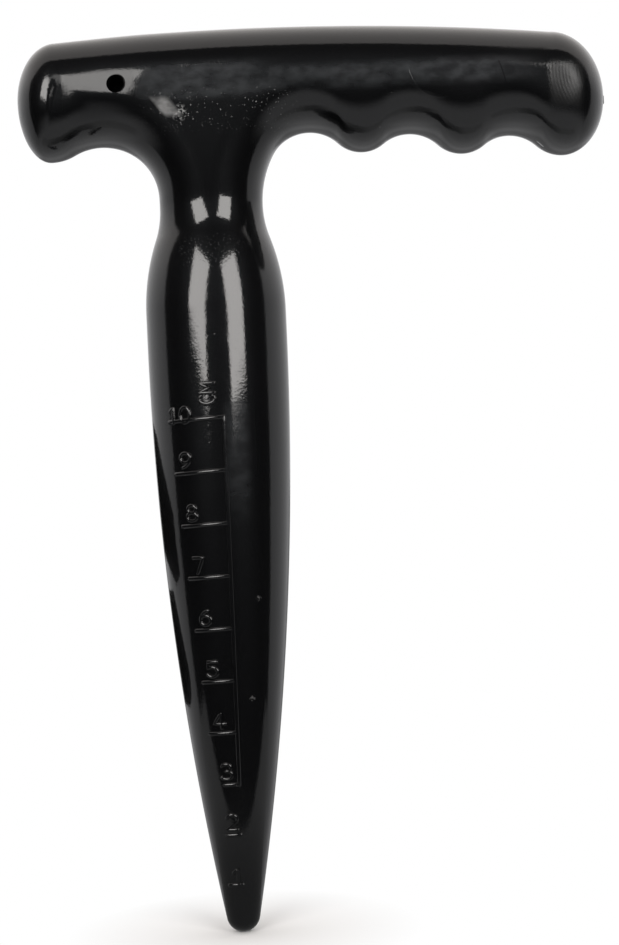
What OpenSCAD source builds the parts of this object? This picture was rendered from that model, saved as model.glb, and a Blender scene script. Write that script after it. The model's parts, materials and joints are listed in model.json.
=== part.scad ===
// Dibber for garden planting: a tapered spike with a moulded depth scale under a pistol grip.
// Two hollow half mouldings, front and back, meet on the plane Y = 0 along a tongue and groove.
// Origin at the point of the spike, +Z up the spike, +X towards the finger side, front at -Y.

/* [Spike] */
// Radius of the widest stretch
belly_r = 13.7; // [11:0.1:18]
// Height of the lower end of the widest stretch above the point
belly_z = 116.7; // [112:0.1:160]
// Length of the widest stretch
belly_len = 5; // [0.5:0.1:20]
// Radius of the rounded point
tip_r = 3.3; // [1.5:0.1:5]
// Length of the shoulder from the widest stretch to the neck
shoulder_len = 20.7; // [15:0.1:40]
// Radius of the neck under the grip
neck_r = 10.1; // [8:0.05:10.8]
// Radius of the hollow curve at the neck
neck_curve_r = 18.7; // [8:0.1:25]

/* [Grip] */
// Depth of the grip from front to back
grip_depth = 24; // [20:0.5:30]
// Height of the first finger hollow above the neck
flare_rise = 14.1; // [11:0.05:18]
// Height of the crown above the first finger hollow
palm_h = 20.1; // [18:0.05:26]
// Radius of the crowned top edge
crown_r = 538; // [300:2:2000]
// Distance of the highest point from the spike's axis
crown_x = 7.1; // [-10:0.1:20]
// Depth of the grip's thickest line below the top edge
ridge_drop = 10.4; // [9:0.1:13]
// Fullness of the grip's section, 2 for an ellipse
grip_power = 2.3; // [2:0.05:2.6]
// Loss of half depth towards the thumb end
thumb_taper = 1.2; // [0:0.1:2]

/* [Finger hollows] */
// Number of finger hollows
finger_count = 3; // [2:1:4]
// Distance from one hollow to the next
finger_pitch = 19.85; // [17:0.05:24]
// Depth of a hollow below the ridges beside it
finger_depth = 3.8; // [2.5:0.1:5]
// Radius of a hollow
finger_r = 8.1; // [7:0.1:10]
// Distance that the first hollow stands clear of the neck
flare_gap = 1.5; // [0.5:0.05:3]
// Fall of the row of hollows towards the end, in degrees
finger_fall = 3.4; // [0:0.05:6]

/* [Thumb hollow] */
// Radius of the thumb hollow
thumb_r = 11.2; // [9:0.1:13]
// Height of the thumb hollow's centre above the neck
thumb_rise = 1.7; // [0.5:0.05:4]
// Drop of the lobe below the top of the thumb hollow
lobe_drop = 2.6; // [1.5:0.05:3.5]
// Distance of the lobe's lowest point from the thumb hollow's centre
lobe_reach = 10; // [8:0.1:13]

/* [Grip ends] */
// Reach of the thumb end past the lobe's lowest point
left_reach = 5.6; // [5:0.1:10]
// Depth of the thumb end's furthest point below the crown
left_drop = 12.9; // [10:0.1:16]
// Length of the rounding above the thumb end's furthest point
left_round = 8; // [6:0.1:12]
// Length of the thumb end's rounding from front to back
left_plan = 9.8; // [7:0.1:12]
// Reach of the finger end past the last ridge
right_reach = 7.7; // [6:0.05:12]
// Depth of the finger end's furthest point below the crown
right_drop = 16.6; // [13:0.1:19]
// Length of the rounding above the finger end's furthest point
right_round = 10.5; // [7:0.1:14]
// Length of the finger end's rounding from front to back
right_plan = 12; // [9:0.1:16]
// Height that the gate mark stands proud of the finger end
gate_h = 0.35; // [0.1:0.05:1]
// Width of the gate mark
gate_w = 1.6; // [0.8:0.1:3]

/* [Shell] */
// Wall thickness
wall = 2.6; // [2.2:0.1:3.6]
// Length of the solid point
tip_solid = 14; // [10:0.5:30]
// Thickness of the tongue on the front half's rim
lip_w = 0.8; // [0.6:0.1:1]
// Height of the tongue
lip_h = 1; // [0.5:0.1:1.6]
// Clearance between the halves where they locate
fit_gap = 0.1; // [0.05:0.01:0.2]
// Radius of the locating pegs
peg_r = 1.5; // [1:0.1:2]
// Length of the locating pegs past the joint
peg_len = 4; // [2:0.5:5]
// Wall of the bosses round the pegs, the sockets and the hanging hole
boss_wall = 1.6; // [1.2:0.1:2]

/* [Hanging hole] */
// Radius of the hole
hole_r = 1.65; // [1.2:0.05:2.5]
// Distance of the hole from the spike's axis
hole_x = 16.7; // [14:0.1:22]
// Depth of the hole below the crown
hole_drop = 11.65; // [8:0.05:14]
// Bevel round the mouth of the hole
hole_bevel = 0.4; // [0.2:0.1:0.8]

/* [Depth scale] */
// Distance between graduation lines
scale_step = 10; // [9:1:11]
// Number of graduation lines
scale_count = 10; // [5:1:10]
// Height of the raised lines
line_h = 0.4; // [0.2:0.05:0.8]
// Width of the raised lines
line_w = 0.7; // [0.4:0.05:1.2]
// Angle of the upright line from the front, in degrees
upright_angle = 5; // [0:0.5:8]
// Slope of the graduation lines, in degrees
line_slope = 5; // [0:0.1:8]
// Length of a short graduation line
line_short = 2.1; // [1.5:0.1:3]
// Number of short lines above the point
short_count = 3; // [1:1:4]
// Length of the first long line
line_long = 4.4; // [4:0.05:5.5]
// Growth of the long lines from one to the next
line_grow = 0.82; // [0.3:0.02:0.9]

/* [Hidden] */
plastic = [0.07, 0.07, 0.075];
// Steps along the parts of the outline and across a rib
fillet_n = 10;
hollow_n = 6;
lobe_n = 4;
end_n = 6;
deck_n = 5;
rib_n = 7;
arc_n = 10;
flank_n = 24;
// Fullness of the round neck
round_power = 2;
// Overlap that lets one solid sink into the wall behind it
bite = 1;
// Step at the neck between the grip's facets and the round spike, and depth of their foot in it
seat = 0.06;
// Inset of the plug that carries the grip's foot down into the spike's wall
plug_inset = wall / 6;

// Heights of the neck, the foot of the grip's facets, the first finger hollow and the crown
neck_z = belly_z + belly_len + shoulder_len;
foot_z = neck_z - seat;
finger_z = neck_z + flare_rise;
top_z = finger_z + palm_h;
grip_a = grip_depth / 2;

// Spike: flank arc from the point's sphere to the widest stretch, then the shoulder's two arcs
flank_r = (belly_r ^ 2 + (belly_z - tip_r) ^ 2 - tip_r ^ 2) / (2 * (belly_r - tip_r));
flank_a = asin((belly_z - tip_r) / (flank_r - tip_r));
neck_drop = belly_r - neck_r;
shoulder_r = two_arcs(shoulder_len, neck_drop) - neck_curve_r;
shoulder_a = asin(shoulder_len / (shoulder_r + neck_curve_r));

// Finger side: row of hollows and ridges, tangent to each other and to the flare at the neck
finger_x = neck_r + finger_r + flare_gap;
hollow_c = [finger_x, finger_z - finger_r];
hollow_rise = hollow_c[1] - neck_z;
wave_r = two_arcs(finger_pitch / 2, finger_depth);
wave_a = asin(finger_pitch / 2 / wave_r);
bump_r = wave_r - finger_r;
flare_r = finger_r + flare_gap / 2 + hollow_rise ^ 2 / (2 * flare_gap);
flare_c = [neck_r + flare_r, neck_z];
flare_a = atan2(hollow_rise, flare_c[0] - finger_x);
last_bump = bump_c(finger_count - 1) - [0, bump_r];

// Thumb side: hollow, and the lobe tangent to it
thumb_x = neck_r + thumb_r;
thumb_c = [-thumb_x, neck_z + thumb_rise];
lobe_sum = two_arcs(lobe_reach, lobe_drop);
lobe_r = lobe_sum - thumb_r;
lobe_a = asin(lobe_reach / lobe_sum);
lobe_c = thumb_c + lobe_sum * [-sin(lobe_a), cos(lobe_a)];
lobe_low = lobe_c - [0, lobe_r];

// Ends of the grip
left_tip = [lobe_low[0] - left_reach, top_z - left_drop];
left_top = left_tip[0] + left_round;
right_tip = [last_bump[0] + right_reach, top_z - right_drop];
right_top = right_tip[0] - right_round;
// Places where the thickest line meets the ends, and the share of the rest that it runs on
left_ridge = left_tip[0] + left_plan;
right_ridge = right_tip[0] - right_plan;
end_run = 0.2;

// Tongue and groove, as insets from the outline
lip_o = (wall - lip_w) / 2;
lip_i = (wall + lip_w) / 2;
boss_r = peg_r + fit_gap + boss_wall;

// Sum of the radii of two arcs that join parallel lines, run apart along them and drop across
function two_arcs(run, drop) = (run ^ 2 + drop ^ 2) / (2 * drop);
function turn(a) = [cos(a), sin(a)];
function arc(c, r, a0, a1, n) = [for (i = [0:n]) c + r * turn(a0 + (a1 - a0) * i / n)];
function mix(a, b, u) = a + (b - a) * u;
function ease(u) = let (w = min(max(u, 0), 1)) w ^ 2 * (3 - 2 * w);
function tail(list) = [for (i = [1:len(list) - 1]) list[i]];
function flip(list) = [for (i = [len(list) - 1:-1:0]) list[i]];
function crown_z(x) = top_z - crown_r + sqrt(crown_r ^ 2 - (x - crown_x) ^ 2);
function ridge(x) = [x, crown_z(x) - ridge_drop];
// Point of the thickest line that faces a place on the underside
function facing(x) = ridge(
    x < -thumb_x ? mix(-thumb_x, left_ridge, (x + thumb_x) / (lobe_low[0] + thumb_x))
    : x > finger_x ? mix(finger_x, right_ridge, (x - finger_x) / (last_bump[0] - finger_x))
    : x);
// Half depth of the grip at a place on the thickest line
function half_depth(x) = grip_a - thumb_taper * ease((x + neck_r) / (left_ridge + neck_r));

// Line of the spike's wall at an inset from its surface, from the solid point up the shoulder
function shoulder_line(inset) = concat(
    arc([belly_r - flank_r, belly_z], flank_r - inset,
        -asin((belly_z - tip_solid) / (flank_r - inset)), 0, flank_n),
    arc([belly_r - shoulder_r, belly_z + belly_len], shoulder_r - inset, 0, shoulder_a, arc_n)
);
// The same line carried on to the neck
function wall_line(inset) = concat(
    shoulder_line(inset),
    tail(arc([neck_r + neck_curve_r, neck_z], neck_curve_r + inset, 180 + shoulder_a, 180, arc_n))
);
// Radius of the spike's flank at a height
function flank_at(z) = belly_r - flank_r + sqrt(flank_r ^ 2 - (belly_z - z) ^ 2);

// Centres of the finger hollows and of the ridges after them
function finger_c(k) = hollow_c + k * finger_pitch * turn(-finger_fall);
function bump_c(k) = finger_c(k) + wave_r * turn(90 - wave_a - finger_fall);

// Finger side of the outline: from the neck round the flare to the first hollow, u from 0 to 1
flare_len = flare_r * flare_a;
flare_all = flare_len + finger_r * (90 - flare_a);
function flare_at(u) = u * flare_all < flare_len
    ? flare_c + flare_r * turn(180 - u * flare_all / flare_r)
    : hollow_c + finger_r * turn(180 - flare_a - (u * flare_all - flare_len) / finger_r);
// Thumb side: from the neck up a straight stretch and round the thumb hollow, u from 0 to 1
rise_len = thumb_rise * 180 / PI;
thumb_all = rise_len + thumb_r * 90;
function thumb_at(u) = u * thumb_all < rise_len
    ? [-neck_r, neck_z + u * thumb_all * PI / 180]
    : thumb_c + thumb_r * turn((u * thumb_all - rise_len) / thumb_r);

// Underside of the grip from the first hollow to the last ridge, and from the thumb hollow to the lobe
wave_line = concat(
    [for (k = [0:finger_count - 1]) each concat(
        tail(arc(finger_c(k), finger_r, k == 0 ? 90 : 90 + wave_a - finger_fall,
            90 - wave_a - finger_fall, hollow_n)),
        tail(arc(bump_c(k), bump_r, 270 - wave_a - finger_fall,
            k == finger_count - 1 ? 270 : 270 + wave_a - finger_fall, hollow_n)))]
);
lobe_line = concat(
    tail(arc(thumb_c, thumb_r, 90, 90 + lobe_a, lobe_n)),
    tail(arc(lobe_c, lobe_r, 270 + lobe_a, 270, lobe_n))
);

// A rib runs from the thickest line q out to the outline p.
// Its other values are the half depth, the slope at q, the wall, the share of the lip and the fullness.
function deck(u, v) = let (x = mix(-thumb_x, finger_x, v), q = ridge(x))
    [x * (1 - cos(90 * u)), mix(foot_z, q[1], sin(90 * u))];
function deck_a(u, v) = mix(neck_r - seat, grip_a, (1 - cos(180 * sin(90 * u))) / 2)
    + half_depth(deck(u, v)[0]) - grip_a;
function deck_s(u) = (grip_a - neck_r) * PI / 2 * sin(180 * sin(90 * u)) / (ridge(0)[1] - foot_z);
function deck_wall(u) = u == 0 ? wall - 2 * seat : wall;
function rib(p, q) = [p, q, half_depth(q[0]), 0, wall, 1, grip_power];
function fillet_rib(u, v) = u == 0
    ? neck_rib(v, foot_z, seat)
    : let (p = v == 0 ? thumb_at(u) : flare_at(u))
        [p, deck(u, v), deck_a(u, v), deck_s(u), wall, 1, mix(round_power, grip_power, u)];
function neck_rib(v, z, inset) = let (r = neck_r - inset)
    [[v == 0 ? -r : r, z], [0, z], r, 0, wall - 2 * inset, 0, round_power];
function end_q(tip, root, i) = ridge(mix(root, tip, end_run * sin(90 * i / end_n)));
function end_low(tip, low, i) = [mix(low[0], tip[0], sin(90 * i / end_n)),
    mix(tip[1], low[1], cos(90 * i / end_n))];
function end_top(tip, x, i) = [mix(x, tip[0], sin(90 * i / end_n)),
    mix(tip[1], crown_z(x), cos(90 * i / end_n))];
function top_rib(x, q0, q1, p0, p1) = let (at = mix(p0, p1, (x - q0) / (q1 - q0)))
    rib([at, crown_z(at)], facing(x));

// Ribs in order round the outline: neck, thumb side, thumb end, top, finger end, finger side, neck
left_low = [for (i = [1:end_n])
    rib(end_low(left_tip, lobe_low, i), end_q(left_tip[0], left_ridge, i))];
left_high = [for (i = [end_n - 1:-1:0])
    rib(end_top(left_tip, left_top, i), end_q(left_tip[0], left_ridge, i))];
right_high = [for (i = [0:end_n])
    rib(end_top(right_tip, right_top, i), end_q(right_tip[0], right_ridge, i))];
right_low = [for (i = [end_n - 1:-1:1])
    rib(end_low(right_tip, last_bump, i), end_q(right_tip[0], right_ridge, i))];
lobe_x = [for (i = [len(lobe_line) - 2:-1:0]) lobe_line[i][0]];
wave_x = [for (i = [0:len(wave_line) - 2]) wave_line[i][0]];
ribs = concat(
    [neck_rib(0, foot_z - bite, plug_inset)],
    [for (i = [0:fillet_n]) fillet_rib(i / fillet_n, 0)],
    [for (p = lobe_line) rib(p, facing(p[0]))],
    left_low,
    left_high,
    [for (x = lobe_x) top_rib(x, lobe_low[0], -thumb_x, left_top, -thumb_x)],
    [for (j = [0:deck_n]) let (q = deck(1, j / deck_n)) rib([q[0], crown_z(q[0])], q)],
    [for (x = wave_x) top_rib(x, finger_x, last_bump[0], finger_x, right_top)],
    right_high,
    right_low,
    [for (p = flip(wave_line)) rib(p, facing(p[0]))],
    [for (i = [fillet_n:-1:0]) fillet_rib(i / fillet_n, 1)],
    [neck_rib(1, foot_z - bite, plug_inset)]
);

// Points of one rib: surface from the thickest line to the outline, rim with its lip, inner surface
function rib_point(r, inset, t) =
    let (q = r[1], arm = r[0] - q, out = arm * (1 - inset / norm(arm)))
    let (c = cos(t) ^ (2 / r[6]), s = sin(t) ^ (2 / r[6]), xz = q + out * c)
    [xz[0], (r[2] - inset) * s + r[3] * out[1] * c * (1 - c), xz[1]];
function rim_point(r, inset, y) =
    let (arm = r[0] - r[1], xz = r[0] - arm * inset / norm(arm)) [xz[0], y, xz[1]];
function rib_points(r, slack, lip) =
    let (shift = (wall - r[4]) / 2, lo = lip_o - slack - shift, li = lip_i + slack - shift)
    let (fade = (1 - r[5]) * lip_w / 4, rise = r[5] * lip)
    concat(
        [for (i = [rib_n:-1:0]) rib_point(r, 0, 90 * i / rib_n)],
        [rim_point(r, lo, 0), rim_point(r, lo + fade, rise)],
        [rim_point(r, li - fade, rise), rim_point(r, li, 0)],
        [for (i = [0:rib_n]) rib_point(r, r[4], 90 * i / rib_n)]
    );
function deck_point(i, j, inner) = let (u = i / fillet_n, xz = deck(u, j / deck_n))
    [xz[0], deck_a(u, j / deck_n) - inner * deck_wall(u), xz[1]];
function quad(a, b, c, d) = [[a, c, b], [a, d, c]];

// Grip and neck of one half, its rim stepped by a lip: inwards of the joint above 0, proud below 0
module grip_half(slack, lip) {
    side_n = 2 * rib_n + 6;
    deck_0 = len(ribs) * side_n;
    row_n = deck_n + 1;
    inner_0 = deck_0 + (fillet_n + 1) * row_n;
    last = deck_0 - side_n;
    points = concat(
        [for (r = ribs) each rib_points(r, slack, lip)],
        [for (i = [0:fillet_n], j = [0:deck_n]) deck_point(i, j, 0)],
        [for (i = [0:fillet_n], j = [0:deck_n]) deck_point(i, j, 1)]
    );
    sides = [for (r = [0:len(ribs) - 2], m = [0:side_n - 2]) let (a = r * side_n + m)
        each quad(a, a + 1, a + side_n + 1, a + side_n)];
    decks = [for (i = [1:fillet_n - 1], j = [0:deck_n - 1]) let (a = i * row_n + j)
        each concat(quad(deck_0 + a, deck_0 + a + row_n, deck_0 + a + row_n + 1, deck_0 + a + 1),
            quad(inner_0 + a, inner_0 + a + 1, inner_0 + a + row_n + 1, inner_0 + a + row_n))];
    cusps = [for (j = [0:deck_n - 1]) each [
        [deck_0, deck_0 + row_n + j + 1, deck_0 + row_n + j],
        [inner_0, inner_0 + row_n + j, inner_0 + row_n + j + 1]]];
    walls = [for (m = [0:rib_n - 2]) let (w = side_n - 1 - m) each quad(m, w, w - 1, m + 1)];
    rims = [for (k = [rib_n:rib_n + 5]) [rib_n - 1, k, k + 1]];
    cap = concat(walls, rims);
    caps = concat(cap, [for (f = cap) [last + f[0], last + f[2], last + f[1]]]);
    polyhedron(points, concat(sides, decks, cusps, caps));
}

// Spike of one half
module spike_half() {
    skin = concat(
        arc([0, tip_r], tip_r, -90, -flank_a, arc_n),
        tail(arc([belly_r - flank_r, belly_z], flank_r, -flank_a, 0, flank_n)),
        arc([belly_r - shoulder_r, belly_z + belly_len], shoulder_r, 0, shoulder_a, arc_n),
        tail(arc([neck_r + neck_curve_r, neck_z], neck_curve_r, 180 + shoulder_a, 180, arc_n))
    );
    rotate_extrude(angle = 180, $fn = 96) polygon(concat(skin, flip(wall_line(wall)), [[0, tip_solid]]));
}

// Band along both sides of the spike's rim, from y0 to y1
module spike_band(slack, y0, y1) {
    band = concat(shoulder_line(lip_o - slack), flip(shoulder_line(lip_i + slack)));
    for (side = [0, 1]) mirror([side, 0, 0])
        translate([0, y1, 0]) rotate([90, 0, 0]) linear_extrude(y1 - y0) polygon(band);
}

// Places of the locating pegs: along the grip over the ridges, and down the spike
peg_spots = concat(
    [for (k = [0:finger_count - 2]) ridge(bump_c(k)[0])],
    [[0, belly_z + belly_len / 2], [0, belly_z / 2]]
);
function spot_depth(p) = p[0] == 0 ? flank_at(min(p[1], belly_z)) : grip_a;

// Solid peg, boss or bore square to the joint at a place, from y0 to y1
module post(p, r, y0, y1) {
    translate([p[0], y1, p[1]]) rotate([90, 0, 0]) cylinder(h = y1 - y0, r = r, $fn = 48);
}

// Bosses of one half, from the joint into the wall
module bosses() {
    for (p = peg_spots) post(p, boss_r, 0, spot_depth(p) - wall + bite);
    post(hole_spot, hole_r + boss_wall, 0, half_depth(-hole_x) - wall + bite);
}

// Hanging hole, with its bevelled mouth
hole_spot = [-hole_x, top_z - hole_drop];
hole_side = hole_spot[1] - ridge(-hole_x)[1];
mouth_y = half_depth(-hole_x) * (1 - (abs(hole_side) / ridge_drop) ^ grip_power) ^ (1 / grip_power);
module hole() {
    post(hole_spot, hole_r, -bite, grip_depth);
    translate([hole_spot[0], mouth_y - hole_bevel, hole_spot[1]]) rotate([-90, 0, 0])
        cylinder(h = 2 * hole_bevel, r1 = hole_r, r2 = hole_r + 2 * hole_bevel, $fn = 48);
}

// Half of the gate mark on the finger end
module gate() {
    translate([right_tip[0] - bite, 0, right_tip[1] - gate_w / 2])
        cube([bite + gate_h, gate_w / 2, gate_w]);
}

// One half without its pegs or sockets, built at +Y
module half(slack, lip) {
    difference() {
        union() {
            grip_half(slack, lip);
            spike_half();
            gate();
            bosses();
        }
        hole();
    }
}

// Raised upright line of the depth scale, from the last short line to the highest line
module upright() {
    crest = wall_line(-line_h);
    root = flip(wall_line(wall / 2));
    span = line_w / belly_r * 180 / PI;
    low = line_end(short_count);
    top = line_end(scale_count);
    rotate([0, 0, upright_angle - 90 - span / 2]) intersection() {
        rotate_extrude(angle = span, $fn = 96) polygon(concat(crest, root));
        translate([0, 0, low]) cylinder(h = top - low, r = 2 * belly_r);
    }
}

// Raised graduation line k: its left end is at the full step, and it rises to the upright line
function line_len(k) = k > short_count ? line_long + (k - short_count - 1) * line_grow : line_short;
function line_run(k) = line_len(k) + flank_at(k * scale_step) * sin(upright_angle);
function line_end(k) = k * scale_step + line_run(k) * sin(line_slope);
module graduation(k) {
    z = k * scale_step;
    reach = 2 * line_h + line_w + line_run(k) * sin(line_slope);
    intersection() {
        difference() {
            frustum(z, reach, line_h);
            frustum(z, 2 * reach, -wall / 2);
        }
        translate([-line_len(k), 0, z]) rotate([0, -line_slope, 0])
            translate([0, -2 * belly_r, -line_w / 2]) cube([line_run(k), 2 * belly_r, line_w]);
    }
}
// Slice of the flank from reach below z to reach above it, grown by an offset
module frustum(z, reach, grow) {
    translate([0, 0, z - reach])
        cylinder(h = 2 * reach, r1 = flank_at(z - reach) + grow, r2 = flank_at(z + reach) + grow, $fn = 96);
}

// Front half: tongue, pegs and the raised scale
module front_shell() {
    color(plastic) {
        mirror([0, 1, 0]) {
            half(0, -lip_h);
            spike_band(0, -lip_h, bite);
            for (p = peg_spots) post(p, peg_r, -peg_len, bite);
        }
        upright();
        for (k = [1:scale_count]) graduation(k);
    }
}

// Back half: groove and sockets
module back_shell() {
    color(plastic) difference() {
        half(fit_gap, lip_h + fit_gap);
        spike_band(fit_gap, -bite, lip_h + fit_gap);
        for (p = peg_spots) post(p, peg_r + fit_gap, -bite, peg_len + fit_gap);
    }
}

front_shell();
back_shell();
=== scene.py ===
import json
import math

import bmesh
import bpy
import numpy as np
from mathutils import Matrix, Vector


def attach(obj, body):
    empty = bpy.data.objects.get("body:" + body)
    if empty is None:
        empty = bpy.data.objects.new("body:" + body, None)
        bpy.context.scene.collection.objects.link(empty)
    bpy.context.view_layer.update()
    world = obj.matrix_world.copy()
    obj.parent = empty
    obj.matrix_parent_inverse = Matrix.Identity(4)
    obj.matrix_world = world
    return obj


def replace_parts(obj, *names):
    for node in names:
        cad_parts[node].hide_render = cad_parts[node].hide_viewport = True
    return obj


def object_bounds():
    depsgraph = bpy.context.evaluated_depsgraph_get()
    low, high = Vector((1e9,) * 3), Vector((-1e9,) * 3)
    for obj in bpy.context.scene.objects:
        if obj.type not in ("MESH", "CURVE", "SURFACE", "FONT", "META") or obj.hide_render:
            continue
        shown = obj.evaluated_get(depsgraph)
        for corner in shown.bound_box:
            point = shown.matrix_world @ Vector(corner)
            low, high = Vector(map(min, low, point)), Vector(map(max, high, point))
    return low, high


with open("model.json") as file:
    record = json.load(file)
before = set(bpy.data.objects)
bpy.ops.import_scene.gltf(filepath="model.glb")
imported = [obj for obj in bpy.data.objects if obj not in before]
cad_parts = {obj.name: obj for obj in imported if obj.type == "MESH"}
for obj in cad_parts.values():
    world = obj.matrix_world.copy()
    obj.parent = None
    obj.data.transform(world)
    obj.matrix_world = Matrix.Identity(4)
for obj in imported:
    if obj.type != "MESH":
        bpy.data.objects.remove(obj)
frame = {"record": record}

CAD_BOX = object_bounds()
MM = 0.001

# Sizes of the dibber in millimetres, as in the part's source; the height and the hole come from the frame
HOLE = next(m for m in frame["record"]["mounts"] if m["name"] == "hang_hole")
TOP_Z = CAD_BOX[1].z / MM
BELLY_R = 13.7
BELLY_Z = 116.7
BELLY_LEN = 5.0
TIP_R = 3.3
SHOULDER_LEN = 20.7
NECK_R = 10.1
NECK_CURVE_R = 18.7
PALM_H = 20.1
GRIP_DEPTH = 24.0
CROWN_R = 538.0
CROWN_X = 7.1
RIDGE_DROP = 10.4
FINGER_COUNT = 3
FINGER_PITCH = 19.85
FINGER_DEPTH = 3.8
FINGER_R = 8.1
FLARE_GAP = 1.5
FINGER_FALL = 3.4
THUMB_R = 11.2
THUMB_RISE = 1.7
LOBE_DROP = 2.6
LOBE_REACH = 10.0
LEFT_REACH = 5.6
LEFT_DROP = 12.9
LEFT_ROUND = 8.0
RIGHT_REACH = 7.7
RIGHT_DROP = 16.6
RIGHT_ROUND = 10.5
LEFT_PLAN = 9.8
END_RUN = 0.2
WALL = 2.6
TIP_SOLID = 14.0
BOSS_WALL = 1.6
GATE_H = 0.35

# Depth scale
SCALE_STEP = 10.0
SCALE_COUNT = 10
SHORT_COUNT = 3
LINE_H = 0.4
LINE_SHORT = 2.1
LINE_LONG = 4.4
LINE_GROW = 0.82
SOURCE_SLOPE = 5.0
UPRIGHT_ANGLE = 5.0
FIGURE_H = 2.95
FIGURE_W = 0.8
FIGURE_RISE = 0.4
FIGURE_LIFT = 1.2
FIRST_LIFT = 0.3
LAST_LIFT = -0.1
FIGURE_IN = 2.0
FIGURE_SHORT_X = 0.5
UNIT_ANGLE = -7.8
UNIT_Z = 104.1

# Sizes that are a little off the part's source, as the photograph shows them; the scale's lines turn about
# their middles from the source's slope to this one
RIGHT_PLAN = 10.5
HOLE_ROUND = 0.22
GATE_W = 1.7
GATE_T = 0.9
LINE_W = 0.9
LINE_SLOPE = 2.6

# Front of the neck, fuller than in the part's source: straight cone from the shoulder, hollow round the
# waist, and the rise to the grip
CONE_LEN = 0.8
WAIST_R = 14.0
WAIST_RISE_A = 9.0

# Loss of half depth towards the thumb end, and gain towards the finger end, which the part's source hasn't
THUMB_TAPER = 1.2
FINGER_SWELL = 0.5
# Fullness of the grip's section, beside an ellipse
ROUND_POWER = 2.0
GRIP_POWER = 2.3
END_POWER = 2.1
# Swell of the thumb arm's front: it rises at its lower edge, eases off above, and fades towards the neck and
# the joint
SWELL_H = 0.35
SWELL_RISE = (159.5, 163.8)
SWELL_EASE = (165.0, 169.5)
SWELL_UPPER = 0.55
SWELL_NECK = (-4.0, -13.5)
SWELL_JOINT = (0.0, -4.0)
# The lower edge climbs towards the thumb end and drops at the end itself: two places along X and the heights
# there
EDGE_CLIMB = (-19.5, -29.0, 0.0, 4.2)
EDGE_DROP = (-28.2, -30.4, 0.0, 6.4)
# Bevel of each half along the joint
SEAM = 0.08
# Length over which the hollow closes towards the solid point
TIP_CONE = 3.0

# Steps along the parts of the outline, across a rib, along the scale's strokes and round the hole
FILLET_N = 40
HOLLOW_N = 18
LOBE_N = 16
END_N = 24
DECK_N = 28
RIB_N = 26
TIP_N = 18
FLANK_N = 90
SHOULDER_N = 30
BEAD_N = 10
CAP_N = 5
UPRIGHT_N = 70
LINE_N = 24
STROKE_N = 6
TURN_N = 64
# Degrees of an oval stroke in one step
OVAL_STEP = 12
# Distance in millimetres below which points are one
SAME = 1e-4
# Angle between faces from which an edge stays sharp
SHARP_A = 32
# Angle at which the rounding of the hole's mouth runs out
MOUTH_END = 97


def turn(deg):
    """Unit vector at an angle in degrees."""
    return np.array([math.cos(math.radians(deg)), math.sin(math.radians(deg))])


def sin_d(deg):
    return math.sin(math.radians(deg))


def cos_d(deg):
    return math.cos(math.radians(deg))


def tan_d(deg):
    return math.tan(math.radians(deg))


def asin_d(value):
    return math.degrees(math.asin(value))


def mix(a, b, u):
    return a + (b - a) * u


def smooth(u):
    u = min(max(u, 0.0), 1.0)
    return u * u * (3 - 2 * u)


def ease(value, low, high, start=0.0, end=1.0):
    """Smooth change from start to end as the value goes from low to high."""
    return mix(start, end, smooth((value - low) / (high - low)))


def arc(centre, radius, a0, a1, n):
    """Points on an arc, both ends included."""
    return [np.asarray(centre) + radius * turn(mix(a0, a1, i / n)) for i in range(n + 1)]


def two_arcs(run, drop):
    """Sum of the radii of two arcs that join parallel lines."""
    return (run ** 2 + drop ** 2) / (2 * drop)


# Derived sizes of the spike and the grip
NECK_Z = BELLY_Z + BELLY_LEN + SHOULDER_LEN
FINGER_Z = TOP_Z - PALM_H
GRIP_A = GRIP_DEPTH / 2
FLANK_R = (BELLY_R ** 2 + (BELLY_Z - TIP_R) ** 2 - TIP_R ** 2) / (2 * (BELLY_R - TIP_R))
FLANK_A = asin_d((BELLY_Z - TIP_R) / (FLANK_R - TIP_R))
SHOULDER_SUM = two_arcs(SHOULDER_LEN, BELLY_R - NECK_R)
SHOULDER_R = SHOULDER_SUM - NECK_CURVE_R
SHOULDER_A = asin_d(SHOULDER_LEN / SHOULDER_SUM)
SHOULDER_Z = BELLY_Z + BELLY_LEN

FINGER_X = NECK_R + FINGER_R + FLARE_GAP
HOLLOW_C = np.array([FINGER_X, FINGER_Z - FINGER_R])
HOLLOW_RISE = HOLLOW_C[1] - NECK_Z
WAVE_R = two_arcs(FINGER_PITCH / 2, FINGER_DEPTH)
WAVE_A = asin_d(FINGER_PITCH / 2 / WAVE_R)
BUMP_R = WAVE_R - FINGER_R
FLARE_R = FINGER_R + FLARE_GAP / 2 + HOLLOW_RISE ** 2 / (2 * FLARE_GAP)
FLARE_C = np.array([NECK_R + FLARE_R, NECK_Z])
FLARE_A = math.degrees(math.atan2(HOLLOW_RISE, FLARE_C[0] - FINGER_X))

THUMB_X = NECK_R + THUMB_R
THUMB_C = np.array([-THUMB_X, NECK_Z + THUMB_RISE])
LOBE_SUM = two_arcs(LOBE_REACH, LOBE_DROP)
LOBE_R = LOBE_SUM - THUMB_R
LOBE_A = asin_d(LOBE_REACH / LOBE_SUM)
LOBE_C = THUMB_C + LOBE_SUM * np.array([-sin_d(LOBE_A), cos_d(LOBE_A)])
LOBE_LOW = LOBE_C - [0, LOBE_R]


def finger_c(k):
    """Centre of finger hollow k."""
    return HOLLOW_C + k * FINGER_PITCH * turn(-FINGER_FALL)


def bump_c(k):
    """Centre of the ridge after finger hollow k."""
    return finger_c(k) + WAVE_R * turn(90 - WAVE_A - FINGER_FALL)


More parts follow.
